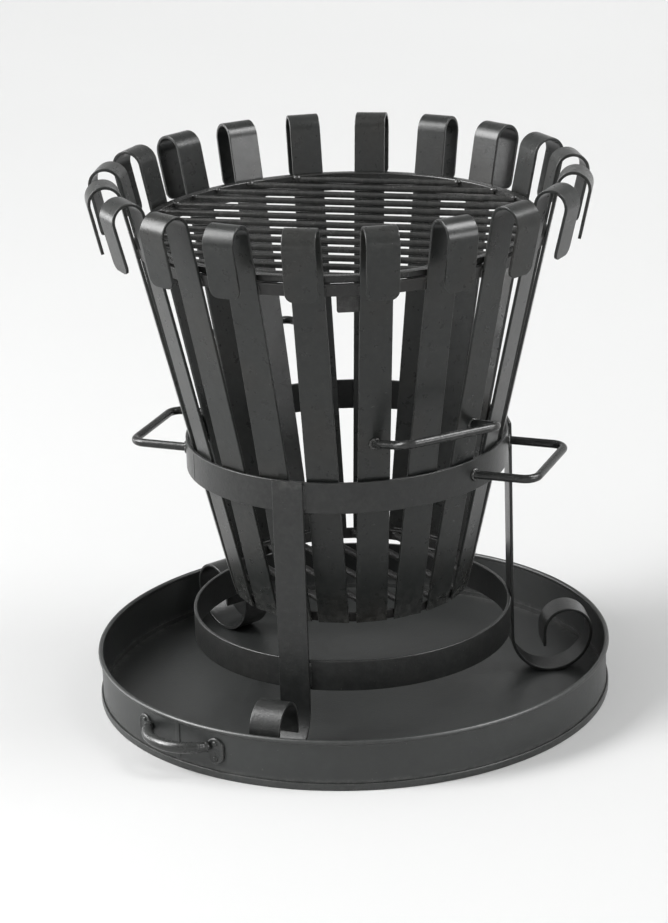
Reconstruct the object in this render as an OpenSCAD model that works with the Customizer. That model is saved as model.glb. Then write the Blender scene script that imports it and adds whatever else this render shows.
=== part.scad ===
// Garden fire basket: a cone of flat-bar slats with rolled-over tops, carried by a
// three-legged stand with scroll feet, with a cooking grill and a round ash tray.
// Axis is +Z, the origin is on the ground at the centre of the tray's underside.
// Four bodies lift off each other along +Z: tray, stand, basket and grill.

/* [Ash tray] */
// Radius over the rolled rim of the tray
tray_r = 250; // [200:1:320]
// Height of the tray over its rim
tray_h = 50; // [35:1:80]
// Sheet thickness of the tray's wall and floor
tray_sheet = 1.2; // [0.8:0.1:2]
// Radius of the rolled bead round the tray's rim
rim_bead_r = 2.4; // [1.8:0.1:4]
// Height of the folded seam that joins floor and wall
seam_h = 7; // [4:0.5:10]
// Direction of the front tray handle, counter-clockwise from +X
tray_handle_az = 228; // [0:1:360]
// Angle between the middle of a tray handle and each of its end plates
tray_handle_half_angle = 10.5; // [8:0.5:14]
// How far a tray handle's bar stands out from the line between its plates
tray_handle_bow = 24; // [18:1:40]
// Diameter of a tray handle's bar
tray_handle_d = 11; // [6:0.5:14]
// How far the bar's ends lie inside the middle lines of its two plates
tray_bar_inset = 7; // [0:0.5:9]
// Height of a tray handle's bar over its plates' middle
tray_bar_rise = 4; // [0:0.5:6]
// Height of an oval handle plate
plate_h = 26; // [20:1:32]
// Width of an oval handle plate
plate_w = 18; // [12:1:24]

/* [Stand] */
// Width of the flat bar used for hoops, legs and slats
bar_w = 30; // [20:1:50]
// Thickness of that flat bar
bar_t = 3; // [2:0.5:6]
// Outer radius of the upper band and of the base hoop
band_r = 154.5; // [130:0.5:200]
// Height of the top edge of the upper band
band_top = 264; // [200:1:320]
// Height of the top edge of the base hoop
hoop_top = 88; // [60:1:120]
// Directions of the three legs, counter-clockwise from +X
leg_az = [249, 6, 128.5]; // [0:0.5:360]
// Middle radius of the big turn at the foot of a leg
foot_turn_r = 39; // [25:0.5:50]
// Middle radius of the small turn at the end of a leg
curl_turn_r = 23; // [12:0.5:30]
// Straight end of a leg below the small turn
curl_tail = 14; // [4:1:20]
// Gap under the feet to the tray floor
rest_gap = 0.35; // [0.3:0.05:1]

/* [Round bar handles] */
// Diameter of the round bar used for stand and basket handles
rod_d = 8; // [6:0.5:12]
// Half of the width between a handle's two arms
handle_half_w = 51; // [40:1:65]
// Middle radius of a handle's corners
handle_corner_r = 13; // [10:1:25]
// Reach of a stand handle beyond the line between its welds
stand_handle_reach = 58; // [40:1:80]
// Direction of the right stand handle, counter-clockwise from +X
stand_handle_az = -21; // [-180:0.5:180]
// Height of the middle of the stand handles
stand_handle_z = 249; // [236:1:262]
// Reach of a basket handle beyond the line between its welds
basket_handle_reach = 54; // [40:1:80]
// Direction of the front basket handle, counter-clockwise from +X
basket_handle_az = 298; // [0:0.5:360]
// Height at which the basket handles are welded to the slats
basket_handle_z = 302; // [280:1:360]
// Upward tilt of the basket handles
basket_handle_tilt = 14; // [0:1:30]

/* [Basket] */
// Number of slats
slat_count = 20; // [12:1:24]
// Direction of the first slat, counter-clockwise from +X
slat_az = 9; // [0:1:18]
// Lean of the slats outward from the vertical
slat_lean = 13; // [5:0.5:25]
// Height of the bottom edge of the slats
slat_bottom = 110; // [60:1:140]
// Straight length of a slat up to its rolled top
slat_len = 409; // [300:0.1:500]
// Inner radius of the rolled top of a slat
roll_r = 13.5; // [8:0.5:25]
// Straight length of a slat's turned-down end
hook_len = 48; // [20:1:80]
// Corner radius of a slat's turned-down end
hook_corner_r = 8; // [2:0.5:15]
// Heights of the lower and upper edge of the top hoop
top_hoop_z = [451.5, 463]; // [400:0.5:500]
// Thickness of the top hoop, which the grill rests on
top_hoop_t = 6; // [4:0.5:10]
// Depth of the splice plate that hangs below the top hoop
splice_drop = 16; // [10:1:30]
// Direction of the splice plate, counter-clockwise from +X
splice_az = 273; // [0:1:360]
// Heights of the lower and upper edge of the bottom hoop
bottom_hoop_z = [110, 120]; // [100:0.5:140]
// Number of bars in the fire grate
fire_bar_count = 7; // [5:1:9]
// Diameter of a fire grate bar
fire_bar_d = 7; // [5:0.5:12]
// Spacing of the fire grate bars
fire_bar_pitch = 30; // [20:1:40]
// Direction in which the fire grate bars run
fire_bar_az = 121; // [0:1:180]

/* [Grill] */
// Outer radius of the grill's ring
grill_r = 189.5; // [150:0.5:220]
// Width of the grill's ring seen from above
grill_ring_w = 8; // [5:0.5:12]
// Height of the grill's ring
grill_ring_h = 6.6; // [4:0.1:12]
// Number of rods across the grill
grill_rod_count = 13; // [8:1:16]
// Diameter of a grill rod
grill_rod_d = 6; // [4:0.5:8]
// Spacing of the grill rods
grill_rod_pitch = 27.8; // [20:0.1:35]
// Direction in which the grill rods run
grill_rod_az = -13.3; // [-90:0.1:90]
// How far the middle of the row of rods lies off the ring's centre
grill_rod_shift = -4.5; // [-12:0.5:12]

/* [Hidden] */
$fn = 96;
weld_bite = 0.02; // how deep touching welded pieces run into each other
over = 1; // how far a cutting shape runs past what it cuts
big = 1000; // larger than the whole object
bead_r = tray_r - rim_bead_r; // radius of the middle of the rim bead
bead_z = tray_h - rim_bead_r;
bead_out = 0.4; // how far the middle of the bead lies outside the wall's outer face
wall_r = bead_r - bead_out; // outer radius of the tray's wall
wall_in = wall_r - tray_sheet;
floor_z = 1.2; // underside of the tray's floor
floor_top = floor_z + tray_sheet;
seam_out = wall_r + 2; // outer radius of the folded base seam
seam_in = wall_in - 0.9; // inner radius of that seam, and radius of the flat floor
wall_seam_w = 5; // width of the lap seam up the tray's wall
wall_seam_t = 0.7; // how far that seam stands out
wall_seam_bite = 0.3; // how far it reaches into the wall
plate_t = 2.5; // thickness of a handle plate
bar_sink = 1; // how deep a tray handle's bar runs into its plates
rivet_r = 2.4; // head radius of a plate rivet
rivet_dome = 1; // height of its domed head
rivet_off = 7.6; // rivet distance above and below a plate's middle
plate_z = 27; // middle height of the handle plates
plate_az = [for (s = [-1, 1]) s * tray_handle_half_angle];
chord_half = (wall_r + plate_t) * sin(tray_handle_half_angle) - tray_bar_inset;
chord_x = sqrt(pow(wall_r + plate_t, 2) - pow(chord_half, 2)) - bar_sink;
bow_r = (chord_half * chord_half + tray_handle_bow * tray_handle_bow) / (2 * tray_handle_bow);
bow_half = asin(chord_half / bow_r);
band_in = band_r - bar_t;
leg_mid = band_r - weld_bite + bar_t / 2; // radius of the middle of a leg
foot_z = floor_top + rest_gap + foot_turn_r + bar_t / 2; // centre height of a leg's turns
lean_tan = tan(slat_lean);
band_gap = 0.4; // gap between the slats' outer corners and the band
slat_r_at_band = sqrt(pow(band_in - band_gap, 2) - pow(bar_w / 2, 2));
function slat_out(z) = slat_r_at_band + (z - band_top) * lean_tan; // outer face of the slats
function slat_in(z) = slat_out(z) - bar_t / cos(slat_lean); // inner face of the slats
slat_pitch = 360 / slat_count;
slat_foot_r = slat_out(slat_bottom);
bottom_hoop_in = slat_in(bottom_hoop_z[0]) - bar_t;
grill_bottom = top_hoop_z[1] + rest_gap;
grill_in = grill_r - grill_ring_w;
grill_rod_sink = 0.6; // depth of the rods' tops below the ring's top
grill_rod_z = grill_bottom + grill_ring_h - grill_rod_sink - grill_rod_d / 2;
splice_inset = 1; // gap from the top hoop's upper inner edge to the splice plate's outer face
splice_top = 2; // depth of the plate's top below the hoop's top
handle_run = 20; // length of a handle's arms inside its weld line, cut off at the weld
handle_slat = 15; // slats from the first one to the one where the front basket handle starts
handle_span = 2; // slats from there to the one where it ends
leg_names = ["leg_front", "leg_right", "leg_rear"];

function two(k) = str(k < 10 ? "0" : "", k);
function slat_name(k) = str("slat_", two(k));
function fire_bar_name(k) = str("fire_bar_", k);
function grill_rod_name(k) = str("grill_rod_", two(k));

// ---- shared shapes ----

// A flat ring standing on edge, from height z0 to z1.
module hoop(r, t, z0, z1) {
    translate([0, 0, z0]) difference() {
        cylinder(r = r, h = z1 - z0);
        translate([0, 0, -over]) cylinder(r = r - t, h = z1 - z0 + 2 * over);
    }
}

// A hoop inside the slats, its outer face leaning with them.
module leaning_hoop(z, t) {
    rotate_extrude() polygon([
        [slat_in(z[0]) - t, z[0]], [slat_in(z[0]) + weld_bite, z[0]],
        [slat_in(z[1]) + weld_bite, z[1]], [slat_in(z[1]) - t, z[1]]]);
}

// Part of a turn of flat bar about the Y axis, in the XZ plane, from angle a through sweep.
module bar_turn(r, a, sweep) {
    rotate([90, 0, 0]) rotate([0, 0, a]) rotate_extrude(angle = sweep)
        translate([r - bar_t / 2, -bar_w / 2]) square([bar_t, bar_w]);
}

// A quarter turn or other arc of round bar in the XY plane.
module rod_turn(r, d, a, sweep) {
    rotate([0, 0, a]) rotate_extrude(angle = sweep) translate([r, 0]) circle(d = d);
}

// A round bar from x0 to x1 at height zero, y across.
module rod_x(d, x0, x1, y) {
    translate([x0, y, 0]) rotate([0, 90, 0]) cylinder(d = d, h = x1 - x0);
}

// U-shaped handle in the XY plane: arms along +X, from x = -handle_run to the bar at x = reach.
module u_handle(reach) {
    corner_x = reach - handle_corner_r;
    corner_y = handle_half_w - handle_corner_r;
    for (s = [-1, 1]) {
        rod_x(rod_d, -handle_run, corner_x, s * handle_half_w);
        translate([corner_x, s * corner_y, 0])
            rod_turn(handle_corner_r, rod_d, s > 0 ? 0 : -90, 90);
    }
    translate([reach, -corner_y, 0]) rotate([-90, 0, 0]) cylinder(d = rod_d, h = 2 * corner_y);
}

// ---- ash tray ----

module tray_floor() {
    color("#34373a") translate([0, 0, floor_z]) cylinder(r = seam_in, h = tray_sheet);
}

// The folded seam round the floor's edge, which the wall stands in.
module tray_base_seam() {
    color("#34373a") hoop(seam_out, seam_out - seam_in, 0, seam_h);
}

// The rolled wall strip with its wired rim bead and its lap seam.
module tray_wall() {
    seam_angle = wall_seam_w / wall_r * 180 / PI;
    color("#34373a") {
        hoop(wall_r, tray_sheet, seam_h, bead_z);
        rotate_extrude() translate([bead_r, bead_z]) circle(r = rim_bead_r);
        rotate([0, 0, tray_handle_az - seam_angle / 2]) translate([0, 0, seam_h])
            rotate_extrude(angle = seam_angle) translate([wall_r - wall_seam_bite, 0])
                square([wall_seam_t + wall_seam_bite, bead_z - seam_h]);
    }
}

// An oval plate on the outside of the tray's wall, its back following the wall.
module handle_plate() {
    difference() {
        translate([wall_r - over, 0, plate_z]) rotate([90, 0, 90])
            linear_extrude(height = plate_t + over) union() {
                for (s = [-1, 1])
                    translate([0, s * (plate_h - plate_w) / 2]) circle(d = plate_w);
                square([plate_w, plate_h - plate_w], center = true);
            }
        cylinder(r = wall_r - weld_bite / 2, h = big);
    }
}

module tray_handle(az) {
    color("#3a3d3f") rotate([0, 0, az]) {
        for (a = plate_az) rotate([0, 0, a]) handle_plate();
        difference() {
            translate([chord_x + tray_handle_bow - bow_r, 0, plate_z + tray_bar_rise])
                rod_turn(bow_r, tray_handle_d, -bow_half, 2 * bow_half);
            cylinder(r = wall_r + bar_sink, h = big);
        }
    }
}

module tray_handle_front() { tray_handle(tray_handle_az); }

module tray_handle_rear() { tray_handle(tray_handle_az + 180); }

module tray_rivets() {
    cap_r = (rivet_r * rivet_r + rivet_dome * rivet_dome) / (2 * rivet_dome);
    color("#3a3d3f") for (side = [0, 180], a = plate_az, s = [-1, 1])
        rotate([0, 0, tray_handle_az + side + a])
            translate([wall_r + plate_t, 0, plate_z + s * rivet_off])
                rotate([0, 90, 0]) intersection() {
                    translate([0, 0, rivet_dome - cap_r]) sphere(r = cap_r);
                    cylinder(r = rivet_r, h = big);
                }
}

// ---- stand ----

module stand_band() {
    color("#303335") hoop(band_r, bar_t, band_top - bar_w, band_top);
}

module stand_base_hoop() {
    color("#303335") hoop(band_r, bar_t, hoop_top - bar_w, hoop_top);
}

// A leg: straight down outside the hoops, then a big turn outward and a small one back.
module leg(az) {
    curl_x = leg_mid + 2 * foot_turn_r - curl_turn_r;
    color("#303335") rotate([0, 0, az]) {
        translate([leg_mid - bar_t / 2, -bar_w / 2, foot_z])
            cube([bar_t, bar_w, band_top - foot_z]);
        translate([leg_mid + foot_turn_r, 0, foot_z]) bar_turn(foot_turn_r, 180, 180);
        translate([curl_x, 0, foot_z]) bar_turn(curl_turn_r, 0, 180);
        translate([curl_x - curl_turn_r - bar_t / 2, -bar_w / 2, foot_z - curl_tail])
            cube([bar_t, bar_w, curl_tail]);
    }
}

module stand_handle(az) {
    weld_x = sqrt(band_r * band_r - handle_half_w * handle_half_w);
    color("#2d3032") difference() {
        rotate([0, 0, az]) translate([weld_x, 0, stand_handle_z]) u_handle(stand_handle_reach);
        cylinder(r = band_r - weld_bite, h = big);
    }
}

module stand_handle_right() { stand_handle(stand_handle_az); }

module stand_handle_left() { stand_handle(stand_handle_az + 180); }

// ---- basket ----

// Moves its children to a slat's own frame: X outward from the outer face, Z up the slat.
module at_slat(az) {
    rotate([0, 0, az]) translate([slat_foot_r, 0, slat_bottom]) rotate([0, slat_lean, 0])
        children();
}

module slat(k) {
    end_z = slat_len - hook_len;
    color("#3b3e40") at_slat(slat_az + (k - 1) * slat_pitch) {
        translate([-bar_t, -bar_w / 2, 0]) cube([bar_t, bar_w, slat_len]);
        translate([roll_r, 0, slat_len]) bar_turn(roll_r + bar_t / 2, 0, 180);
        translate([2 * roll_r, 0, end_z]) rotate([90, 0, 90]) linear_extrude(height = bar_t)
            union() {
                for (s = [-1, 1])
                    translate([s * (bar_w / 2 - hook_corner_r), hook_corner_r])
                        circle(r = hook_corner_r);
                translate([hook_corner_r - bar_w / 2, 0])
                    square([bar_w - 2 * hook_corner_r, hook_corner_r]);
                translate([-bar_w / 2, hook_corner_r]) square([bar_w, hook_len - hook_corner_r]);
            }
    }
}

module basket_top_hoop() {
    color("#2e2f2f") leaning_hoop(top_hoop_z, top_hoop_t);
}

// The plate that joins the top hoop's two ends, hanging below it on the inside.
module hoop_splice() {
    r = slat_in(top_hoop_z[1]) - top_hoop_t;
    color("#2e2f2f") difference() {
        rotate([0, 0, splice_az])
            translate([r - bar_t - splice_inset, -bar_w / 2, top_hoop_z[0] - splice_drop])
                cube([bar_t, bar_w, splice_drop + top_hoop_z[1] - top_hoop_z[0] - splice_top]);
        rotate_extrude() polygon([
            [slat_in(top_hoop_z[0]) - top_hoop_t - weld_bite, top_hoop_z[0]],
            [slat_in(top_hoop_z[0]), top_hoop_z[0]], [slat_in(top_hoop_z[1]), top_hoop_z[1]],
            [slat_in(top_hoop_z[1]) - top_hoop_t - weld_bite, top_hoop_z[1]]]);
    }
}

module basket_bottom_hoop() {
    color("#2e2f2f") leaning_hoop(bottom_hoop_z, bar_t);
}

// A U handle across two slats, its arms cut off at the slats' outer faces.
module basket_handle() {
    weld_x = sqrt(pow(slat_out(basket_handle_z), 2) - pow(handle_half_w, 2));
    color("#2d3032") difference() {
        rotate([0, 0, basket_handle_az]) translate([weld_x, 0, basket_handle_z])
            rotate([0, -basket_handle_tilt, 0]) u_handle(basket_handle_reach);
        for (a = [0, handle_span]) at_slat(slat_az + (handle_slat + a) * slat_pitch)
            translate([-slat_foot_r - weld_bite, -bar_w, 0])
                cube([slat_foot_r, 2 * bar_w, slat_len]);
    }
}

module basket_handle_front() { basket_handle(); }

module basket_handle_rear() { rotate([0, 0, 180]) basket_handle(); }

module fire_bar(k) {
    y = (k - (fire_bar_count + 1) / 2) * fire_bar_pitch;
    z = (bottom_hoop_z[0] + bottom_hoop_z[1]) / 2;
    color("#2e2f2f") rotate([0, 0, fire_bar_az]) intersection() {
        translate([0, 0, z]) rod_x(fire_bar_d, -slat_foot_r, slat_foot_r, y);
        rotate_extrude() polygon([
            [0, bottom_hoop_z[0]], [bottom_hoop_in + weld_bite, bottom_hoop_z[0]],
            [slat_in(bottom_hoop_z[1]) - bar_t + weld_bite, bottom_hoop_z[1]], [0, bottom_hoop_z[1]]]);
    }
}

// ---- grill ----

module grill_ring() {
    color("#3b3e40") hoop(grill_r, grill_ring_w, grill_bottom, grill_bottom + grill_ring_h);
}

module grill_rod(k) {
    y = (k - (grill_rod_count + 1) / 2) * grill_rod_pitch + grill_rod_shift;
    color("#3b3e40") intersection() {
        rotate([0, 0, grill_rod_az]) translate([0, 0, grill_rod_z])
            rod_x(grill_rod_d, -grill_r, grill_r, y);
        translate([0, 0, grill_bottom]) cylinder(r = grill_in + weld_bite / 2, h = grill_ring_h);
    }
}

// ---- one line per node ----

tray_floor();
tray_base_seam();
tray_wall();
tray_handle_front();
tray_handle_rear();
tray_rivets();
stand_band();
stand_base_hoop();
for (k = [0:len(leg_az) - 1]) leg(leg_az[k]);
stand_handle_right();
stand_handle_left();
for (k = [1:slat_count]) slat(k);
basket_top_hoop();
hoop_splice();
basket_bottom_hoop();
basket_handle_front();
basket_handle_rear();
for (k = [1:fire_bar_count]) fire_bar(k);
grill_ring();
for (k = [1:grill_rod_count]) grill_rod(k);
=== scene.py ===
"""Visual model of the garden fire basket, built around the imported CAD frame.

Lengths are in millimetres until a mesh is made, in the CAD's own frame: +Z up, origin on the
ground at the centre of the ash tray.
"""
import math
import random

import bmesh
import bpy
from mathutils import Matrix, Vector, noise


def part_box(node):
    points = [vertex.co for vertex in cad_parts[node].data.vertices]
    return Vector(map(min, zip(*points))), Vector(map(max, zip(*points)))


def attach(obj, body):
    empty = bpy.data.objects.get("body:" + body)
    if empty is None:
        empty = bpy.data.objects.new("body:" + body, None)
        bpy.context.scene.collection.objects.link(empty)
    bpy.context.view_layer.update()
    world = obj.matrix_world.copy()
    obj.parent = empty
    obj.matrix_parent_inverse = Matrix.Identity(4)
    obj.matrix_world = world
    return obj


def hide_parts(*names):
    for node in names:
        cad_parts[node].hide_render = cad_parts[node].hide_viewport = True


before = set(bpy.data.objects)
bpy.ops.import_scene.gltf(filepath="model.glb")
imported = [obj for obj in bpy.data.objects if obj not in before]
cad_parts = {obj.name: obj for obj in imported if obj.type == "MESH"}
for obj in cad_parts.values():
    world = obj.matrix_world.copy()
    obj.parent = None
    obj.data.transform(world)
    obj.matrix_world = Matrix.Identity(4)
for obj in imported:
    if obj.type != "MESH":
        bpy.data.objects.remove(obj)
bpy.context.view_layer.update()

MM = 0.001
TAU = 2 * math.pi
rng = random.Random(7)

# ---- sizes, as in the CAD ----

BAR_W = 30.0
BAR_T = 3.0
EDGE = 0.7  # rounding of the flat bar's edges
ROD_D = 8.0
LEAN = math.radians(13)
SLAT_COUNT = 20
SLAT_AZ = 9.0
SLAT_LEN = 408.9
ROLL_R = 13.5
HOOK_LEN = 48.0
HOOK_CORNER = 8.0
LEG_AZ = {"leg_front": 249.0, "leg_right": 6.0, "leg_rear": 128.5}
TURN_R = 39.0
CURL_R = 23.0
CURL_TAIL = 14.0
HANDLE_HALF = 51.0
HANDLE_CORNER = 13.0
STAND_HANDLE_AZ = {"stand_handle_right": -21.0, "stand_handle_left": 159.0}
BASKET_HANDLE_AZ = {"basket_handle_front": 298.0, "basket_handle_rear": 118.0}
STAND_REACH = 58.0
BASKET_REACH = 54.0
BASKET_HANDLE_Z = 302.0
BASKET_TILT = math.radians(14)
ARM_SINK = 1.4  # how deep a round handle's arms start in what they are welded to
TRAY_AZ = {"tray_handle_front": 228.0, "tray_handle_rear": 48.0}
PLATE_ANGLE = 10.5
PLATE_W, PLATE_H, PLATE_T = 18.0, 26.0, 2.5
BOW = 24.0
BAR_INSET = 7.0
BAR_SINK = 1.0  # how deep the cast bar runs into its plates
RIVET_OFF = 7.6  # rivets above and below a plate's middle
SPLICE_AZ = 273.0
HOOP_T = 6.0  # thickness of the basket's top hoop
SPLICE_GAP = 1.0  # from that hoop's inner edge to the splice plate
FIRE_COUNT = 7
FIRE_PITCH = 30.0
FIRE_AZ = 121.0
FIRE_R = 3.5
ROD_COUNT = 13
ROD_PITCH = 27.8
ROD_AZ = -13.3
ROD_SHIFT = -4.5
BEAD = 2.4  # radius of the tray's rolled rim
BEAD_OUT = 0.4  # how far the middle of that bead lies outside the wall
BAND_GAP = 0.4  # from the slats' corners to the band


def box_mm(node):
    """Lowest and highest corner of a CAD node, in millimetres."""
    low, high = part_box(node)
    return low / MM, high / MM


def heights(node):
    """Lowest and highest level of a CAD node."""
    low, high = box_mm(node)
    return low.z, high.z


def outer_radius(node):
    """How far a round CAD node reaches from the axis."""
    return box_mm(node)[1].x


BAND_R, BAND_Z = outer_radius("stand_band"), heights("stand_band")
HOOP_Z = heights("stand_base_hoop")
RIM_R, RIM_TOP = outer_radius("tray_wall"), heights("tray_wall")[1]
SEAM_R, SEAM_TOP = outer_radius("tray_base_seam"), heights("tray_base_seam")[1]
FLOOR_R, FLOOR_Z = outer_radius("tray_floor"), heights("tray_floor")
WALL_R = RIM_R - BEAD - BEAD_OUT
WALL_T = 1.2
TOP_Z = heights("basket_top_hoop")
BOTTOM_Z = heights("basket_bottom_hoop")
GRILL_R, GRILL_Z = outer_radius("grill_ring"), heights("grill_ring")
GRILL_W = 8.0
ROD_Z = sum(heights("grill_rod_06")) / 2
GRILL_ROD_D = heights("grill_rod_06")[1] - heights("grill_rod_06")[0]
STAND_HANDLE_Z = sum(heights("stand_handle_right")) / 2
FOOT_Z = heights("leg_front")[0] + TURN_R + BAR_T / 2
LEG_MID = BAND_R + BAR_T / 2
HANDLE_Z = 27.0  # middle of the tray handles' plates
TRAY_BAR_Z = 31.0

SLAT_BOTTOM = BOTTOM_Z[0]
SLAT_AT_BAND = math.sqrt((BAND_R - BAR_T - BAND_GAP) ** 2 - (BAR_W / 2) ** 2)


def slat_out(z):
    """Distance of the slats' outer faces from the axis at height z."""
    return SLAT_AT_BAND + (z - BAND_Z[1]) * math.tan(LEAN)


def slat_in(z):
    return slat_out(z) - BAR_T / math.cos(LEAN)


# ---- mesh tools ----


def polar(r, az, z, side=0.0):
    """Point at radius r along direction az (degrees), shifted sideways, at height z."""
    a = math.radians(az)
    return Vector((r * math.cos(a) - side * math.sin(a), r * math.sin(a) + side * math.cos(a), z))


def outward(az):
    return polar(1.0, az, 0.0)


def sideways(az):
    return polar(0.0, az, 0.0, 1.0)


class Shape:
    """Vertices and faces of one piece, built up from several closed surfaces."""

    def __init__(self):
        self.verts = []
        self.faces = []

    def rings(self, rings, closed=False):
        """Joins equal rings of points into a tube; an open tube gets a cap at each end."""
        first, count = len(self.verts), len(rings[0])
        for ring in rings:
            self.verts.extend(ring)
        spans = len(rings) if closed else len(rings) - 1
        for i in range(spans):
            a = first + i * count
            b = first + (i + 1) % len(rings) * count
            for j in range(count):
                k = (j + 1) % count
                self.faces.append((a + j, a + k, b + k, b + j))
        if not closed:
            last = first + (len(rings) - 1) * count
            self.faces.append(tuple(range(first + count - 1, first - 1, -1)))
            self.faces.append(tuple(range(last, last + count)))


def piece(shape, name, body, material, nodes=(), sharp=38):
    """Makes the Blender object of a shape, smooth shaded, riding on its CAD body."""
    mesh = bpy.data.meshes.new(name)
    mesh.from_pydata([v * MM for v in shape.verts], [], shape.faces)
    bm = bmesh.new()
    bm.from_mesh(mesh)
    bmesh.ops.recalc_face_normals(bm, faces=bm.faces)
    bm.to_mesh(mesh)
    bm.free()
    mesh.shade_smooth()
    mesh.set_sharp_from_angle(angle=math.radians(sharp))
    mesh.materials.append(material)
    obj = bpy.data.objects.new(name, mesh)
    bpy.context.scene.collection.objects.link(obj)
    weighted = obj.modifiers.new("even_normals", "WEIGHTED_NORMAL")
    weighted.keep_sharp = True
    weighted.weight = 100
    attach(obj, body)
    if nodes:
        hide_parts(*nodes)
    return obj


def bar_profile(width, thick, edge, steps=3):
    """Outline of a flat bar with rounded edges, as (across, out) pairs."""
    edge = min(edge, width / 2 - 0.01, thick / 2 - 0.01)
    points = []
    for qx, qy, start in ((1, 1, 0), (-1, 1, 90), (-1, -1, 180), (1, -1, 270)):
        for i in range(steps + 1):
            a = math.radians(start + 90 * i / steps)
            points.append((qx * (width / 2 - edge) + edge * math.cos(a),
                           qy * (thick / 2 - edge) + edge * math.sin(a)))
    return points


def flat_station(centre, across, out, width=BAR_W, thick=BAR_T, edge=EDGE):
    return [centre + across * u + out * v for u, v in bar_profile(width, thick, edge)]


def round_station(centre, one, two, radius, count=16):
    return [centre + (one * math.cos(TAU * i / count) + two * math.sin(TAU * i / count)) * radius
            for i in range(count)]


def ring_bar(shape, r_in, r_out, z0, z1, edge, lean=0.0, segments=240, wave=0.0, seed=0.0):
    """A flat bar rolled into a hoop. Lean is added radius for each unit of height."""
    rings = []
    mid_r, mid_z = (r_in + r_out) / 2, (z0 + z1) / 2
    for i in range(segments):
        az = 360 * i / segments
        bump = wave * noise.noise(outward(az) * 2.3 + Vector((seed, 0, 0)))
        rings.append([polar(mid_r + bump + v + lean * u, az, mid_z + u)
                      for u, v in bar_profile(z1 - z0, r_out - r_in, edge)])
    shape.rings(rings, closed=True)


def bead(shape, points, out, size=1.8, height=1.2, pitch=2.2, seed=0.0, closed=False):
    """A rippled weld bead along points; out is the direction in which it bulges."""
    rings = []
    total = len(points)
    length = 0.0
    for i, p in enumerate(points):
        before = points[i - 1] if i or closed else points[0]
        after = points[(i + 1) % total] if i < total - 1 or closed else points[-1]
        along = (after - before).normalized()
        if i:
            length += (p - points[i - 1]).length
        side = along.cross(out).normalized()
        up = side.cross(along).normalized()
        ripple = (1 + 0.13 * math.sin(TAU * length / pitch)
                  + 0.18 * noise.noise(p * 0.4 + Vector((seed, 3, 1))))
        taper = 1.0
        if not closed:
            t = min(i, total - 1 - i) / 3
            taper = math.sqrt(max(0.06, 1 - (1 - min(1.0, t)) ** 2))
        rings.append([p + side * (size * ripple * taper * math.cos(TAU * j / 10))
                      + up * (height * ripple * taper * math.sin(TAU * j / 10)) for j in range(10)])
    shape.rings(rings, closed=closed)


def blob(shape, centre, size, seed, squash):
    """An uneven drop of weld metal."""
    rings = []
    for i in range(1, 8):
        polar_angle = math.pi * i / 8
        ring = []
        for j in range(12):
            a = TAU * j / 12
            d = Vector((math.sin(polar_angle) * math.cos(a), math.sin(polar_angle) * math.sin(a),
                        math.cos(polar_angle)))
            r = size * (1 + 0.22 * noise.noise(d * 1.3 + Vector((seed, seed * 0.7, 5))))
            ring.append(centre + Vector((d.x * squash.x, d.y * squash.y, d.z * squash.z)) * r)
        rings.append(ring)
    shape.rings(rings)


def line(a, b, count):
    return [a.lerp(b, i / (count - 1)) for i in range(count)]


# ---- materials ----


def node(tree, kind, **values):
    made = tree.nodes.new(kind)
    for key, value in values.items():
        setattr(made, key, value)
    return made


def ramp(tree, source, stops):
    """A colour ramp of grey stops (position, value) fed by source."""
    made = node(tree, "ShaderNodeValToRGB")
    ends = made.color_ramp.elements
    for i, (position, value) in enumerate(stops):
        stop = ends[i] if i < 2 else ends.new(position)
        stop.position = position
        stop.color = (value, value, value, 1)
    tree.links.new(source, made.inputs["Fac"])
    return made.outputs["Color"]


def noise_tex(tree, vector, scale, detail=4.0, rough=0.55, stretch=None):
    if stretch:
        mapping = node(tree, "ShaderNodeMapping")
        mapping.inputs["Scale"].default_value = stretch
        tree.links.new(vector, mapping.inputs["Vector"])
        vector = mapping.outputs["Vector"]
    made = node(tree, "ShaderNodeTexNoise")
    made.inputs["Scale"].default_value = scale
    made.inputs["Detail"].default_value = detail
    made.inputs["Roughness"].default_value = rough
    tree.links.new(vector, made.inputs["Vector"])
    return made.outputs["Fac"]


def math_node(tree, operation, a, b):
    made = node(tree, "ShaderNodeMath", operation=operation)
    for socket, value in zip(made.inputs, (a, b)):
        if isinstance(value, (int, float)):
            socket.default_value = value
        else:
            tree.links.new(value, socket)
    return made.outputs[0]


def mix_colour(tree, factor, a, b):
    made = node(tree, "ShaderNodeMix", data_type="RGBA")
    for socket, value in ((made.inputs[0], factor), (made.inputs[6], a), (made.inputs[7], b)):
        if isinstance(value, tuple):
            socket.default_value = (*value, 1)
        elif isinstance(value, (int, float)):
            socket.default_value = value
        else:
            tree.links.new(value, socket)
    return made.outputs[2]


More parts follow.
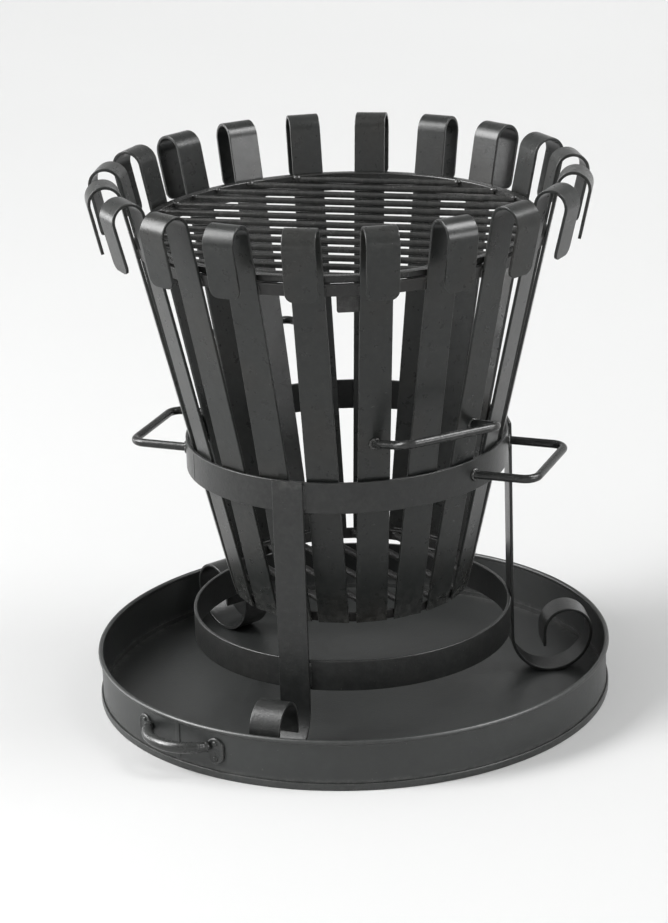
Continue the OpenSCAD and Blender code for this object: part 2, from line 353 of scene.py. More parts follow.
def paint(name, dark, light, warm, gloss, peel=0.12, grain=(1, 1, 1), edge_wear_and_highlight=0.6, ior=1.44):
    """Satin black paint on steel: mottled, slightly uneven and flecked with dust; its convex edges are
    lighter in patches, partly rubbed wear and partly a painted highlight.
    """
    material = bpy.data.materials.new(name)
    material.use_nodes = True
    tree = material.node_tree
    tree.nodes.clear()
    output = node(tree, "ShaderNodeOutputMaterial")
    shader = node(tree, "ShaderNodeBsdfPrincipled")
    place = node(tree, "ShaderNodeTexCoord").outputs["Object"]
    geometry = node(tree, "ShaderNodeNewGeometry")

    broad = noise_tex(tree, place, 14, 3)
    mottle = noise_tex(tree, place, 90, 6, 0.62, grain)
    fine = noise_tex(tree, place, 1400, 2)
    tone = ramp(tree, mottle, [(0.3, 0.0), (0.72, 1.0)])
    colour = mix_colour(tree, tone, dark, light)
    tint = ramp(tree, broad, [(0.48, 0.0), (0.72, 1.0)])
    colour = mix_colour(tree, math_node(tree, "MULTIPLY", tint, 0.8), colour, warm)

    # convex edges made lighter in patches: partly rubbed wear, partly a painted edge highlight
    edges = ramp(tree, geometry.outputs["Pointiness"], [(0.515, 0.0), (0.62, 1.0)])
    patchy = ramp(tree, noise_tex(tree, place, 160, 5, 0.7), [(0.42, 0.15), (0.66, 1.0)])
    worn_and_highlit_edges = math_node(tree, "MULTIPLY", math_node(tree, "MULTIPLY", edges, patchy), edge_wear_and_highlight)
    colour = mix_colour(tree, worn_and_highlit_edges, colour, (0.16, 0.158, 0.152))

    scratch = ramp(tree, noise_tex(tree, place, 260, 2, 0.5, (0.25, 3.0, 0.9)), [(0.735, 0.0), (0.76, 1.0)])
    scratch = math_node(tree, "MULTIPLY", scratch, 0.35)
    colour = mix_colour(tree, scratch, colour, (0.11, 0.108, 0.104))

    cells = node(tree, "ShaderNodeTexVoronoi")
    cells.inputs["Scale"].default_value = 170
    tree.links.new(place, cells.inputs["Vector"])
    specks = ramp(tree, cells.outputs["Distance"], [(0.035, 1.0), (0.06, 0.0)])
    chosen = ramp(tree, noise_tex(tree, place, 75, 2), [(0.56, 0.0), (0.6, 1.0)])
    specks = math_node(tree, "MULTIPLY", math_node(tree, "MULTIPLY", specks, chosen), 0.6)
    colour = mix_colour(tree, specks, colour, (0.3, 0.295, 0.285))
    tree.links.new(colour, shader.inputs["Base Color"])

    rough = ramp(tree, mottle, [(0.25, gloss - 0.02), (0.8, gloss + 0.05)])
    rough = math_node(tree, "SUBTRACT", rough, math_node(tree, "MULTIPLY", worn_and_highlit_edges, 0.12))
    tree.links.new(rough, shader.inputs["Roughness"])
    shader.inputs["IOR"].default_value = ior

    relief = math_node(tree, "ADD", math_node(tree, "MULTIPLY", fine, 0.35),
                       math_node(tree, "MULTIPLY", noise_tex(tree, place, 420, 3), 1.0))
    relief = math_node(tree, "ADD", relief, math_node(tree, "MULTIPLY", broad, 3.0))
    bump = node(tree, "ShaderNodeBump")
    bump.inputs["Strength"].default_value = peel
    bump.inputs["Distance"].default_value = 0.0012
    tree.links.new(relief, bump.inputs["Height"])
    tree.links.new(bump.outputs["Normal"], shader.inputs["Normal"])
    tree.links.new(shader.outputs["BSDF"], output.inputs["Surface"])
    return material


tray_paint = paint("tray_satin_paint", (0.019, 0.0208, 0.0202), (0.027, 0.0295, 0.0285),
                   (0.022, 0.0238, 0.023), 0.38, ior=1.52)
cast_paint = paint("tray_handle_cast_paint", (0.015, 0.0165, 0.016), (0.024, 0.026, 0.025),
                   (0.019, 0.020, 0.019), 0.27, peel=0.14, ior=1.5)
rivet_paint = paint("rivet_satin_paint", (0.016, 0.0175, 0.017), (0.023, 0.025, 0.024),
                    (0.019, 0.020, 0.0195), 0.27)
stand_paint = paint("stand_satin_paint", (0.011, 0.012, 0.0118), (0.017, 0.018, 0.0176),
                    (0.015, 0.0152, 0.0145), 0.31, peel=0.16)
bar_paint = paint("round_bar_satin_paint", (0.010, 0.011, 0.0108), (0.017, 0.018, 0.0175),
                  (0.015, 0.015, 0.0142), 0.25, peel=0.2)
slat_paint = paint("slat_satin_paint", (0.0124, 0.0138, 0.0133), (0.0155, 0.0173, 0.0165),
                   (0.0185, 0.0172, 0.0148), 0.28, peel=0.09, ior=1.42)
fire_paint = paint("fire_side_matt_paint", (0.009, 0.009, 0.0088), (0.015, 0.0147, 0.014),
                   (0.015, 0.0132, 0.0115), 0.44, peel=0.25)
grill_paint = paint("grill_satin_paint", (0.013, 0.0134, 0.013), (0.022, 0.0225, 0.0217),
                    (0.019, 0.0186, 0.0175), 0.25, peel=0.2)
weld_paint = paint("weld_bead_paint", (0.014, 0.0145, 0.014), (0.026, 0.0265, 0.0255),
                   (0.021, 0.0205, 0.019), 0.20, peel=0.3, ior=1.5)

# ---- ash tray ----


def tray_floor():
    """Flat disc with a faint sag, lowered only, so that the feet stay clear of it."""
    shape = Shape()
    radii = [2.0] + [FLOOR_R * i / 26 for i in range(1, 27)]
    segments = 128

    def level(r, az):
        edge = 1 - (r / FLOOR_R) ** 6
        p = polar(r, az, 0) * 0.011
        return -0.32 * edge * max(0.0, 0.45 + noise.noise(p))

    around = [360 * j / segments for j in range(segments)]
    rings = [[polar(r, az, FLOOR_Z[1] + level(r, az)) for az in around] for r in radii]
    rings.append([polar(FLOOR_R, az, FLOOR_Z[0]) for az in around])
    rings.append([polar(radii[0], az, FLOOR_Z[0] - 0.3) for az in around])
    shape.rings(rings)
    return piece(shape, "tray_floor_disc", "tray", tray_paint, ["tray_floor"])


def lathe(shape, profile, segments=288, dent=None):
    """Revolves a closed outline of (radius, height) pairs; dent(az, z) is taken off the radius."""
    rings = []
    for i in range(segments):
        az = 360 * i / segments
        rings.append([polar(r - (dent(az, z) if dent else 0.0), az, z) for r, z in profile])
    shape.rings(rings, closed=True)


def wall_dent(az, z):
    """Slight unevenness of rolled sheet, none at the seam and the rim."""
    t = (z - SEAM_TOP) / (RIM_TOP - 2 * BEAD - SEAM_TOP)
    free = math.sin(math.pi * min(1.0, max(0.0, t)))
    return 0.35 * free * (0.5 + noise.noise(outward(az) * 3.1 + Vector((0, 0, z * 0.02))))


def folded_seam():
    """The double seam round the floor's edge, with a groove where the wall comes out of it."""
    shape = Shape()
    lathe(shape, [(FLOOR_R, 0.6), (FLOOR_R + 0.5, 0.0), (SEAM_R - 1.2, 0.0), (SEAM_R - 0.4, 0.35),
                  (SEAM_R, 1.2), (SEAM_R, SEAM_TOP - 1.0), (SEAM_R - 0.3, SEAM_TOP - 0.3),
                  (SEAM_R - 0.9, SEAM_TOP), (WALL_R + 0.55, SEAM_TOP - 0.2), (WALL_R + 0.4, SEAM_TOP - 1.2),
                  (WALL_R + 0.05, SEAM_TOP - 1.2), (WALL_R, SEAM_TOP), (FLOOR_R + 0.6, SEAM_TOP),
                  (FLOOR_R + 0.15, SEAM_TOP - 0.15), (FLOOR_R, SEAM_TOP - 0.6)])
    piece(shape, "tray_folded_seam", "tray", tray_paint, ["tray_base_seam"])


def rolled_wall():
    """One strip of sheet: the wall, its lap seam between the front handle's plates, and the rim's bead."""
    top = RIM_TOP - BEAD
    steps = 10
    outer = [(WALL_R, SEAM_TOP + (top - SEAM_TOP) * i / steps) for i in range(steps + 1)]
    inner = [(r - WALL_T, z) for r, z in reversed(outer)]
    wall = Shape()
    lathe(wall, outer + inner, dent=wall_dent)
    rings = []
    lap_az = TRAY_AZ["tray_handle_front"]
    lap = [(-2.6, -0.2), (-2.5, 0.45), (-2.1, 0.68), (0.0, 0.7), (2.1, 0.68), (2.5, 0.45), (2.6, -0.2)]
    for i in range(25):
        z = SEAM_TOP - 0.4 + (top - BEAD - SEAM_TOP + 0.9) * i / 24
        wander = 0.12 * noise.noise(Vector((z * 0.11, 2.0, 0.5)))
        rings.append([polar(WALL_R + h, lap_az + math.degrees((s + wander) / WALL_R), z) for s, h in lap])
    wall.rings(rings)
    middle = RIM_R - BEAD
    rim = []
    for i in range(16):
        a = TAU * i / 16
        rim.append((middle + BEAD * math.cos(a), RIM_TOP - BEAD + BEAD * math.sin(a)))
    lathe(wall, rim, dent=lambda az, z: 0.12 * (0.5 + noise.noise(outward(az) * 9.0)))
    piece(wall, "tray_rolled_wall", "tray", tray_paint, ["tray_wall"])


def oval(inset, count=40):
    """Points of the handle plate's outline, moved inwards by inset, as (sideways, up) pairs."""
    r = PLATE_W / 2 - inset
    straight = (PLATE_H - PLATE_W) / 2
    points = []
    for i in range(count):
        a = TAU * i / count
        points.append((r * math.cos(a), r * math.sin(a) + math.copysign(straight, math.sin(a) + 1e-9)))
    return points


def tray_handle(name, az):
    """Cast bow handle: a bar that thickens to ribbed knuckles, on two rimmed oval plates."""
    shape = Shape()
    for s in (-1, 1):
        plate_az = az + s * PLATE_ANGLE
        rings = []
        for inset, rise in ((0.0, -0.15), (0.0, 1.5), (0.3, 2.1), (0.9, PLATE_T), (1.9, PLATE_T),
                            (2.5, PLATE_T - 0.5), (4.5, PLATE_T - 0.55), (7.5, PLATE_T - 0.45)):
            rings.append([polar(WALL_R + rise, plate_az + math.degrees(u / WALL_R), HANDLE_Z + v)
                          for u, v in oval(inset)])
        shape.rings(rings)
    half = (WALL_R + PLATE_T) * math.sin(math.radians(PLATE_ANGLE)) - BAR_INSET
    base = math.sqrt((WALL_R + PLATE_T) ** 2 - half ** 2) - BAR_SINK
    radius = (half ** 2 + BOW ** 2) / (2 * BOW)
    sweep = math.asin(half / radius)
    centre_x = base + BOW - radius
    rings = []
    count = 140
    for i in range(count + 1):
        t = -1 + 2 * i / count
        a = sweep * t
        point = polar(centre_x + radius * math.cos(a), az, TRAY_BAR_Z, radius * math.sin(a))
        out = (outward(az) * math.cos(a) + sideways(az) * math.sin(a)).normalized()
        reach = (1 - abs(t)) * sweep * radius  # distance from the plate along the bar
        size = 3.9 + 1.6 * math.sin(min(1.0, reach / 24) * math.pi / 2)
        size += 0.9 * math.exp(-((reach - 2.2) / 1.6) ** 2)
        for place in (6.4, 8.6, 10.8):
            size += 0.36 * math.exp(-((reach - place) / 0.7) ** 2)
        size *= 1 + 0.02 * noise.noise(point * 0.12)
        rings.append(round_station(point, out, Vector((0, 0, 1)), size, 24))
    shape.rings(rings)
    piece(shape, name + "_cast", "tray", cast_paint, [name], sharp=50)


def rivets():
    shape = Shape()
    for az in TRAY_AZ.values():
        for s in (-1, 1):
            for v in (-RIVET_OFF, RIVET_OFF):
                rings = []
                plate_az = az + s * PLATE_ANGLE
                for r, rise in ((3.1, -0.7), (3.05, -0.42), (2.55, -0.36), (2.4, -0.1), (2.25, 0.35),
                                (1.75, 0.75), (1.0, 0.97), (0.3, 1.02)):
                    rings.append([polar(WALL_R + PLATE_T + rise,
                                        plate_az + math.degrees(r * math.cos(TAU * j / 20) / WALL_R),
                                        HANDLE_Z + v + r * math.sin(TAU * j / 20)) for j in range(20)])
                shape.rings(rings)
    piece(shape, "tray_rivet_heads", "tray", rivet_paint, ["tray_rivets"])


def tray():
    tray_floor()
    folded_seam()
    rolled_wall()
    for name, az in TRAY_AZ.items():
        tray_handle(name, az)
    rivets()


# ---- stand ----


def leg_path():
    """Middle line of a leg, from its top down: (radius, height, normal radius, normal height)."""
    path = [(LEG_MID, BAND_Z[1] + (FOOT_Z - BAND_Z[1]) * i / 24, 1.0, 0.0) for i in range(24)]
    for i in range(41):
        a = math.radians(180 + 180 * i / 40)
        path.append((LEG_MID + TURN_R + TURN_R * math.cos(a), FOOT_Z + TURN_R * math.sin(a),
                     -math.cos(a), -math.sin(a)))
    curl = LEG_MID + 2 * TURN_R - CURL_R
    for i in range(1, 33):
        a = math.radians(180 * i / 32)
        path.append((curl + CURL_R * math.cos(a), FOOT_Z + CURL_R * math.sin(a),
                     -math.cos(a), -math.sin(a)))
    path += [(curl - CURL_R, FOOT_Z - CURL_TAIL * i / 3, 1.0, 0.0) for i in range(1, 4)]
    return path


def end_shrink(i, total):
    """Width and thickness taken off the last stations, which rounds a bar's sawn end."""
    return {0: 0.9, 1: 0.25, total - 2: 0.25, total - 1: 0.9}.get(i, 0.0)


def flat_sweep(shape, path, az):
    """Sweeps flat bar along a path in the upright plane through az. Its ends are rounded over."""
    first, last = path[0], path[-1]
    path = [first, tuple(a + (b - a) * 0.06 for a, b in zip(first, path[1]))] + list(path[1:-1]) + [
        tuple(a + (b - a) * 0.12 for a, b in zip(last, path[-2])), last]
    rings = []
    total = len(path)
    for i, (r, z, nr, nz) in enumerate(path):
        shrink = end_shrink(i, total)
        out = (outward(az) * nr + Vector((0, 0, nz))).normalized()
        rings.append(flat_station(polar(r, az, z), sideways(az), out, BAR_W - shrink, BAR_T - shrink))
    shape.rings(rings)


def stand():
    for name, z in (("stand_band", BAND_Z), ("stand_base_hoop", HOOP_Z)):
        shape = Shape()
        ring_bar(shape, BAND_R - BAR_T, BAND_R, z[0], z[1], EDGE, wave=0.18, seed=z[0])
        piece(shape, name + "_bar", "stand", stand_paint, [name])
    for name, az in LEG_AZ.items():
        shape = Shape()
        flat_sweep(shape, leg_path(), az)
        piece(shape, name + "_bar", "stand", stand_paint, [name])
    for name, az in STAND_HANDLE_AZ.items():
        root = math.sqrt(BAND_R ** 2 - HANDLE_HALF ** 2)
        shape = Shape()
        u_bar(shape, az, root, STAND_HANDLE_Z, 0.0, STAND_REACH)
        piece(shape, name + "_bar", "stand", bar_paint, [name])


def u_bar(shape, az, root, z, tilt, reach):
    """Round bar bent to a U that reaches outward from the welded face at radius root."""
    forward = outward(az) * math.cos(tilt) + Vector((0, 0, math.sin(tilt)))
    side = sideways(az)
    normal = forward.cross(side)
    origin = polar(root, az, z)
    corner = reach - HANDLE_CORNER
    flat = [(x, -HANDLE_HALF) for x in (-ARM_SINK, 2, 6, 12, 20, 30, corner - 4)]
    for i in range(11):
        a = math.radians(-90 + 90 * i / 10)
        flat.append((corner + HANDLE_CORNER * math.cos(a),
                     HANDLE_CORNER - HANDLE_HALF + HANDLE_CORNER * math.sin(a)))
    half = [(x, -y) for x, y in reversed(flat)]
    middle = [(reach, -HANDLE_HALF + HANDLE_CORNER + (2 * HANDLE_HALF - 2 * HANDLE_CORNER) * i / 8)
              for i in range(1, 8)]
    flat = flat + middle + half
    rings = []
    for i, (x, y) in enumerate(flat):
        ahead, behind = flat[min(i + 1, len(flat) - 1)], flat[max(i - 1, 0)]
        along = (forward * (ahead[0] - behind[0]) + side * (ahead[1] - behind[1])).normalized()
        point = origin + forward * x + side * y
        size = ROD_D / 2 * (1 + 0.012 * noise.noise(point * 0.08))
        rings.append(round_station(point, along.cross(normal).normalized(), normal, size, 20))
    shape.rings(rings)


# ---- basket ----


def slat_point(az, x, z, side=0.0):
    """Point in a slat's own frame, x outward from its outer face and z up along it."""
    foot = slat_out(SLAT_BOTTOM)
    return polar(foot + x * math.cos(LEAN) + z * math.sin(LEAN), az,
                 SLAT_BOTTOM - x * math.sin(LEAN) + z * math.cos(LEAN), side)


def slat(k):
    """Flat bar with its top rolled over outwards and a rounded end, each one bent a little differently."""
    az = SLAT_AZ + 360 / SLAT_COUNT * (k - 1)
    opening = math.radians(rng.uniform(-1.6, 1.6))
    short = rng.uniform(0.0, 1.6)
    yaw = math.radians(rng.uniform(-1.2, 1.2))
    radius = ROLL_R + BAR_T / 2
    path = []
    for i in range(20):
        z = SLAT_LEN * i / 20
        bow = 0.25 * math.sin(math.pi * i / 20) * noise.noise(Vector((k * 3.7, 0.4, 0.2)))
        path.append((-BAR_T / 2 + bow, z, 1.0, 0.0, BAR_W))
    for i in range(29):
        a = math.pi - (math.pi - opening) * i / 28
        path.append((ROLL_R + radius * math.cos(a), SLAT_LEN + radius * math.sin(a),
                     -math.cos(a), -math.sin(a), BAR_W))
    end_x, end_z, nx, nz, _ = path[-1]
    down = (nz, -nx) if nx > 0 else (-nz, nx)
    length = HOOK_LEN - short
    marks = [length * t for t in (0.2, 0.4, 0.6, 0.75)]
    marks += [length - HOOK_CORNER + HOOK_CORNER * math.sin(math.radians(a))
              for a in (0, 15, 30, 45, 58, 70, 80, 86)]
    for d in marks:
        into = max(0.0, d - (length - HOOK_CORNER))
        width = BAR_W - 2 * (HOOK_CORNER - math.sqrt(HOOK_CORNER ** 2 - into ** 2))
        path.append((end_x + down[0] * d, end_z + down[1] * d, nx, nz, width))
    rings = []
    total = len(path)
    for i, (x, z, ox, oz, width) in enumerate(path):
        shrink = end_shrink(i, total) if i < 2 else {total - 1: 0.8, total - 2: 0.2}.get(i, 0.0)
        centre = slat_point(az, x, z)
        out = slat_point(az, x + ox, z + oz) - centre
        across = sideways(az)
        lift = max(0.0, (i - 20) / (total - 20))
        turn = Matrix.Rotation(yaw * lift, 3, slat_point(az, 0, 1) - slat_point(az, 0, 0))
        rings.append(flat_station(centre, turn @ across, turn @ out, width - shrink, BAR_T - shrink))
    shape = Shape()
    shape.rings(rings)
    name = f"slat_{k:02d}"
    piece(shape, name + "_bar", "basket", slat_paint, [name])


def fire_side(k):
    """How far bar k of the fire grate lies off the axis."""
    return (k - (FIRE_COUNT + 1) / 2) * FIRE_PITCH


def basket():
    for k in range(1, SLAT_COUNT + 1):
        slat(k)
    lean = math.tan(LEAN)
    for name, z, thick in (("basket_top_hoop", TOP_Z, HOOP_T), ("basket_bottom_hoop", BOTTOM_Z, BAR_T)):
        shape = Shape()
        face = slat_in((z[0] + z[1]) / 2)
        ring_bar(shape, face - thick, face, z[0], z[1], 0.8, lean=lean)
        piece(shape, name + "_bar", "basket", fire_paint, [name])
    low, high = heights("hoop_splice")
    shape = Shape()
    inner = slat_in(TOP_Z[1]) - HOOP_T - SPLICE_GAP - BAR_T
    rings = []
    for depth, inset in ((0.0, 0.5), (0.5, 0.0), (BAR_T - 0.5, 0.0), (BAR_T, 0.5)):
        outline = bar_profile(BAR_W - 2 * inset, high - low - 2 * inset, 2.0, 4)
        rings.append([polar(inner + depth, SPLICE_AZ, (low + high) / 2 + v, u) for u, v in outline])
    shape.rings(rings)
    piece(shape, "hoop_splice_plate", "basket", fire_paint, ["hoop_splice"])
    for name, az in BASKET_HANDLE_AZ.items():
        root = math.sqrt(slat_out(BASKET_HANDLE_Z) ** 2 - HANDLE_HALF ** 2)
        shape = Shape()
        u_bar(shape, az, root, BASKET_HANDLE_Z, BASKET_TILT, BASKET_REACH)
        piece(shape, name + "_bar", "basket", bar_paint, [name])
    mid_z = (BOTTOM_Z[0] + BOTTOM_Z[1]) / 2
    inner = slat_in(mid_z) - BAR_T
    for k in range(1, FIRE_COUNT + 1):
        y = fire_side(k)
        shape = Shape()
        cross_rod(shape, FIRE_AZ, y, mid_z, math.sqrt(inner ** 2 - y ** 2) + 0.9, FIRE_R)
        piece(shape, f"fire_bar_{k}_rod", "basket", fire_paint, [f"fire_bar_{k}"])


def cross_rod(shape, az, y, z, half, radius):
    """A straight round bar across the object, slightly uneven, its ends chamfered."""
    rings = []
    marks = [(-half, 0.82), (-half + 0.6, 1.0)] + [(half * t, 1.0) for t in (-0.6, -0.3, 0, 0.3, 0.6)]
    marks += [(half - 0.6, 1.0), (half, 0.82)]
    for x, share in marks:
        point = polar(x, az, z, y)
        point.z += 0.12 * noise.noise(point * 0.03)
        rings.append(round_station(point, sideways(az), Vector((0, 0, 1)), radius * share, 16))
    shape.rings(rings)


# ---- grill ----


def rod_side(k):
    """How far rod k of the grill lies off the axis."""
    return (k - (ROD_COUNT + 1) / 2) * ROD_PITCH + ROD_SHIFT


def grill():
    shape = Shape()
    ring_bar(shape, GRILL_R - GRILL_W, GRILL_R, GRILL_Z[0], GRILL_Z[1], 1.3)
    piece(shape, "grill_ring_bar", "grill", grill_paint, ["grill_ring"])
    inner = GRILL_R - GRILL_W
    for k in range(1, ROD_COUNT + 1):
        name = f"grill_rod_{k:02d}"
        y = rod_side(k)
        shape = Shape()
        cross_rod(shape, ROD_AZ, y, ROD_Z, math.sqrt(inner ** 2 - y ** 2) + 0.6, GRILL_ROD_D / 2)
        piece(shape, name + "_bar", "grill", grill_paint, [name])


# ---- welds ----


def collar(shape, centre, axis, radius, seed):
    """A rippled weld all round a round bar where it meets a face."""
    side = axis.orthogonal().normalized()
    up = axis.cross(side).normalized()
    points = [centre + (side * math.cos(TAU * i / 36) + up * math.sin(TAU * i / 36)) * radius
              for i in range(36)]
    bead(shape, points, axis, 1.7, 1.5, 3.1, seed, closed=True)


def basket_welds():
    shape = Shape()
    for k in range(SLAT_COUNT):
        az = SLAT_AZ + 360 / SLAT_COUNT * k
        for s in (-1, 1):
            side = s * (BAR_W / 2 - 0.2)
            points = [slat_point(az, -BAR_T - 0.3, (z - SLAT_BOTTOM) / math.cos(LEAN), side)
                      for z in (TOP_Z[0] - 0.5 + (TOP_Z[1] - TOP_Z[0] - 2.5) * i / 9 for i in range(10))]
            bead(shape, points, sideways(az) * s, 1.0, 1.3, 2.4, k + s * 0.3)
            drop = slat_point(az, -BAR_T - 1.0, (TOP_Z[0] - SLAT_BOTTOM) / math.cos(LEAN),
                              s * (BAR_W / 2 - 2.0 - rng.uniform(0, 2)))
            blob(shape, drop, rng.uniform(1.6, 2.5), k * 1.7 + s, Vector((1.25, 1.25, 0.8)))
        points = [slat_point(az, -BAR_T - 0.2, (BOTTOM_Z[1] - SLAT_BOTTOM) / math.cos(LEAN), y)
                  for y in (-10 + 20 * i / 19 for i in range(20))]
        bead(shape, points, (Vector((0, 0, 1)) - outward(az)).normalized(), 1.5, 1.3, 2.4, k + 40.0)
    inner = slat_in(115) - BAR_T
    for k in range(FIRE_COUNT):
        y = fire_side(k + 1)
        half = math.sqrt(inner ** 2 - y ** 2)
        for s in (-1, 1):
            place = polar(s * (half - 0.8), FIRE_AZ, 117.2, y)
            blob(shape, place, 3.0, k * 2.3 + s, Vector((1.1, 1.1, 0.8)))
    top = heights("hoop_splice")[1]
    r = slat_in(TOP_Z[1]) - HOOP_T - SPLICE_GAP - 0.9
    for s in (-1, 1):
        side = s * BAR_W / 2
        points = line(polar(r, SPLICE_AZ, TOP_Z[0] + 0.5, side), polar(r, SPLICE_AZ, top - 1, side), 9)
        bead(shape, points, sideways(SPLICE_AZ) * s, 1.3, 1.3, 2.2, s + 9.0)
    joint_az = SPLICE_AZ - 180
    joint = line(polar(slat_in(TOP_Z[0]) - HOOP_T, joint_az, TOP_Z[0] + 1),
                 polar(slat_in(TOP_Z[1]) - HOOP_T, joint_az, TOP_Z[1] - 1), 9)
    bead(shape, joint, -outward(joint_az), 2.0, 0.6, 2.2, 77.0)
    piece(shape, "basket_hoop_welds", "basket", fire_paint, sharp=70)

    shape = Shape()
    for az in BASKET_HANDLE_AZ.values():
        root = math.sqrt(slat_out(BASKET_HANDLE_Z) ** 2 - HANDLE_HALF ** 2)
        for s, slat_turn in ((-1, -19.0), (1, 17.0)):
            centre = polar(root, az, BASKET_HANDLE_Z, s * HANDLE_HALF)
            face = slat_point(az + slat_turn, 1, 0) - slat_point(az + slat_turn, 0, 0)
            collar(shape, centre + face * 0.4, face, 4.6, az + s)
            blob(shape, centre + face * 0.9 + Vector((0, 0, 4.4)), 2.2, az + s, Vector((1.3, 1.3, 0.9)))
    piece(shape, "basket_handle_welds", "basket", weld_paint, sharp=70)


def stand_welds():
    shape = Shape()
    for az in STAND_HANDLE_AZ.values():
        root = math.sqrt(BAND_R ** 2 - HANDLE_HALF ** 2)
        for s in (-1, 1):
            centre = polar(root, az, STAND_HANDLE_Z, s * HANDLE_HALF)
            face = Vector((centre.x, centre.y, 0)).normalized()
            collar(shape, centre + face * 0.4, face, 4.6, az + s)
    piece(shape, "stand_handle_welds", "stand", weld_paint, sharp=70)

    shape = Shape()
    for n, az in enumerate(LEG_AZ.values()):
        for z0, z1 in ((BAND_Z[0] + 3, BAND_Z[1] - 3), (HOOP_Z[0] + 3, HOOP_Z[1] - 3)):
            for s in (-1, 1):
                side = s * (BAR_W / 2 + 0.1)
                r = math.sqrt(BAND_R ** 2 - side ** 2)
                points = line(polar(r + 0.2, az, z0, side), polar(r + 0.2, az, z1, side), 24)
                corner = (outward(az) + sideways(az) * s).normalized()
                bead(shape, points, corner, 1.2, 0.9, 2.3, n * 5 + z0 + s)
    for az, z in ((17.0, HOOP_Z), (200.0, BAND_Z)):
        points = line(polar(BAND_R - 0.1, az, z[0] + 0.8), polar(BAND_R - 0.1, az, z[1] - 0.8), 26)
        bead(shape, points, outward(az), 1.9, 0.5, 2.3, az)
    piece(shape, "stand_bar_welds", "stand", stand_paint, sharp=70)


def grill_welds():
    shape = Shape()
    inner = GRILL_R - GRILL_W
    for k in range(1, ROD_COUNT + 1):
        y = rod_side(k)
        half = math.sqrt(inner ** 2 - y ** 2)
        for s in (-1, 1):
            size = rng.uniform(2.7, 3.6)
            place = polar(s * (half - 0.2), ROD_AZ, ROD_Z + 2.0, y + rng.uniform(-0.8, 0.8))
            blob(shape, place, size, k * 1.3 + s, Vector((1.2, 1.2, 0.75)))
    piece(shape, "grill_rod_welds", "grill", weld_paint, sharp=70)


tray()
stand()
basket()
grill()
basket_welds()
stand_welds()
grill_welds()

# ---- floor, light and camera ----


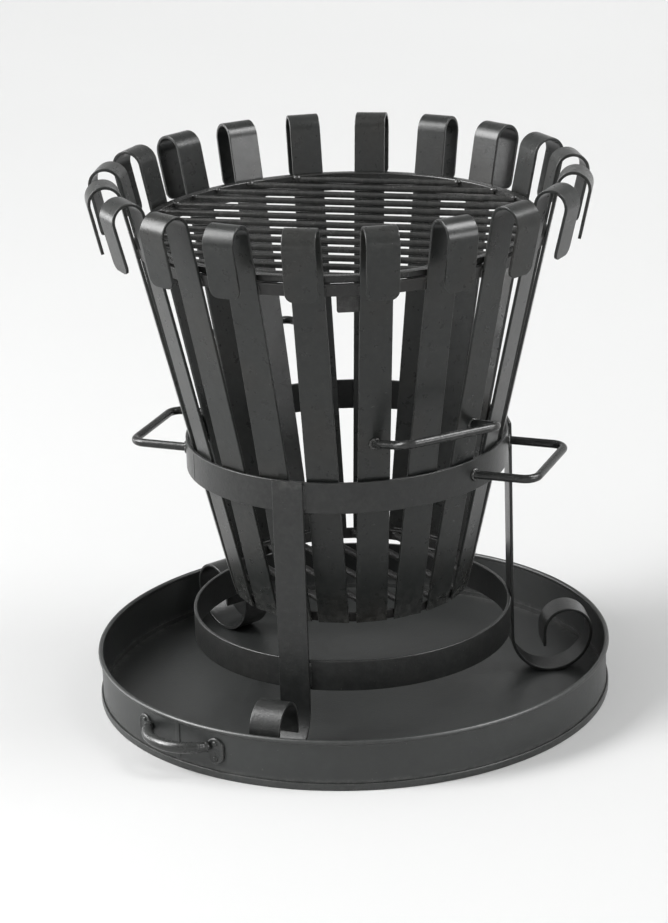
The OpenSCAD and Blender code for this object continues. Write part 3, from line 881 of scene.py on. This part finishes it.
def studio():
    # flat floor that sweeps up to a low wall far behind
    mesh = bpy.data.meshes.new("studio_floor")
    flat, sweep, top = 6.0, 3.0, 4.3
    profile = [(flat * i / 6, 0.0) for i in range(1, 7)]
    for i in range(1, 13):
        a = math.pi / 2 * i / 12
        profile.append((flat + sweep * math.sin(a), sweep * (1 - math.cos(a))))
    profile.append((flat + sweep, top))
    segments = 96
    verts = [(r * math.cos(TAU * j / segments), r * math.sin(TAU * j / segments), z)
             for r, z in profile for j in range(segments)]
    faces = [tuple(range(segments))]
    for i in range(len(profile) - 1):
        for j in range(segments):
            k = (j + 1) % segments
            a, b = i * segments, (i + 1) * segments
            faces.append((a + j, b + j, b + k, a + k))
    mesh.from_pydata(verts, [], faces)
    mesh.shade_smooth()
    floor = bpy.data.objects.new("studio_floor", mesh)
    bpy.context.scene.collection.objects.link(floor)
    material = bpy.data.materials.new("floor_paper")
    material.use_nodes = True
    tree = material.node_tree
    shader = tree.nodes["Principled BSDF"]
    shader.inputs["Roughness"].default_value = 0.9
    shader.inputs["Specular IOR Level"].default_value = 0.1
    place = node(tree, "ShaderNodeTexCoord").outputs["Object"]
    tone = mix_colour(tree, noise_tex(tree, place, 0.9, 2), (0.80, 0.80, 0.80), (0.84, 0.84, 0.84))
    tree.links.new(tone, shader.inputs["Base Color"])
    mesh.materials.append(material)

    world = bpy.data.worlds.new("studio_world")
    world.use_nodes = True
    world.node_tree.nodes["Background"].inputs["Color"].default_value = (0.99, 1.0, 0.99, 1)
    world.node_tree.nodes["Background"].inputs["Strength"].default_value = 0.50
    bpy.context.scene.world = world
    # even light over the whole floor: direction it comes from, strength, and how wide it looks
    for name, place, strength, wide in (
            ("key_left", (-0.80, -0.12, 0.62), 1.56, 22),
            ("key_right", (0.60, -0.05, 0.78), 0.72, 24),
            ("low_right", (0.77, -0.60, 0.55), 0.15, 30)):
        data = bpy.data.lights.new(name, "SUN")
        data.energy = strength
        data.angle = math.radians(wide)
        light = bpy.data.objects.new(name, data)
        bpy.context.scene.collection.objects.link(light)
        light.location = place
        light.rotation_euler = Vector(place).to_track_quat("Z", "Y").to_euler()
    # softboxes beside the object; all but the first only give gloss
    target = Vector((0.0, 0.0, 0.3))
    for name, place, size, power, only_gloss in (
            ("softbox_near_left", (-2.2, -0.6, 1.4), (1.4, 1.2), 26.0, False),
            ("softbox_gloss_left", (-1.9, 0.05, 1.95), (1.5, 2.2), 122.0, True),
            ("softbox_gloss_right", (1.55, -0.10, 2.2), (1.0, 1.4), 55.0, True),
            ("softbox_gloss_low_left", (-2.1, 0.9, 0.4), (1.2, 0.6), 16.0, True),
            ("softbox_gloss_front", (0.0, -4.6, 1.5), (5.0, 2.0), 18.0, True),
            ("softbox_gloss_low", (2.2, -1.7, 1.0), (1.2, 0.9), 30.0, True)):
        data = bpy.data.lights.new(name, "AREA")
        data.shape = "RECTANGLE"
        data.size, data.size_y = size
        data.energy = power
        light = bpy.data.objects.new(name, data)
        bpy.context.scene.collection.objects.link(light)
        light.location = place
        light.rotation_euler = (target - Vector(place)).to_track_quat("-Z", "Y").to_euler()
        light.visible_camera = False
        light.visible_diffuse = not only_gloss


def camera():
    pitch, roll, yaw = 0.3385785, -0.0316944, -0.00530742
    ahead = Vector((0, math.cos(pitch), -math.sin(pitch)))
    right = Vector((1, 0, 0))
    up = right.cross(ahead)
    ahead, right = (ahead * math.cos(yaw) + right * math.sin(yaw),
                    right * math.cos(yaw) - ahead * math.sin(yaw))
    right, up = (right * math.cos(roll) + up * math.sin(roll),
                 up * math.cos(roll) - right * math.sin(roll))
    data = bpy.data.cameras.new("photo_view")
    data.sensor_width = 36.0
    data.lens = 120.17
    data.clip_start, data.clip_end = 0.1, 120.0
    view = bpy.data.objects.new("photo_view", data)
    bpy.context.scene.collection.objects.link(view)
    axes = Matrix((right, up, -ahead)).transposed().to_4x4()
    view.matrix_world = Matrix.Translation((0.0025, -2.7953, 1.2153)) @ axes
    bpy.context.scene.camera = view


studio()
camera()
bpy.context.scene.view_settings.view_transform = "Standard"
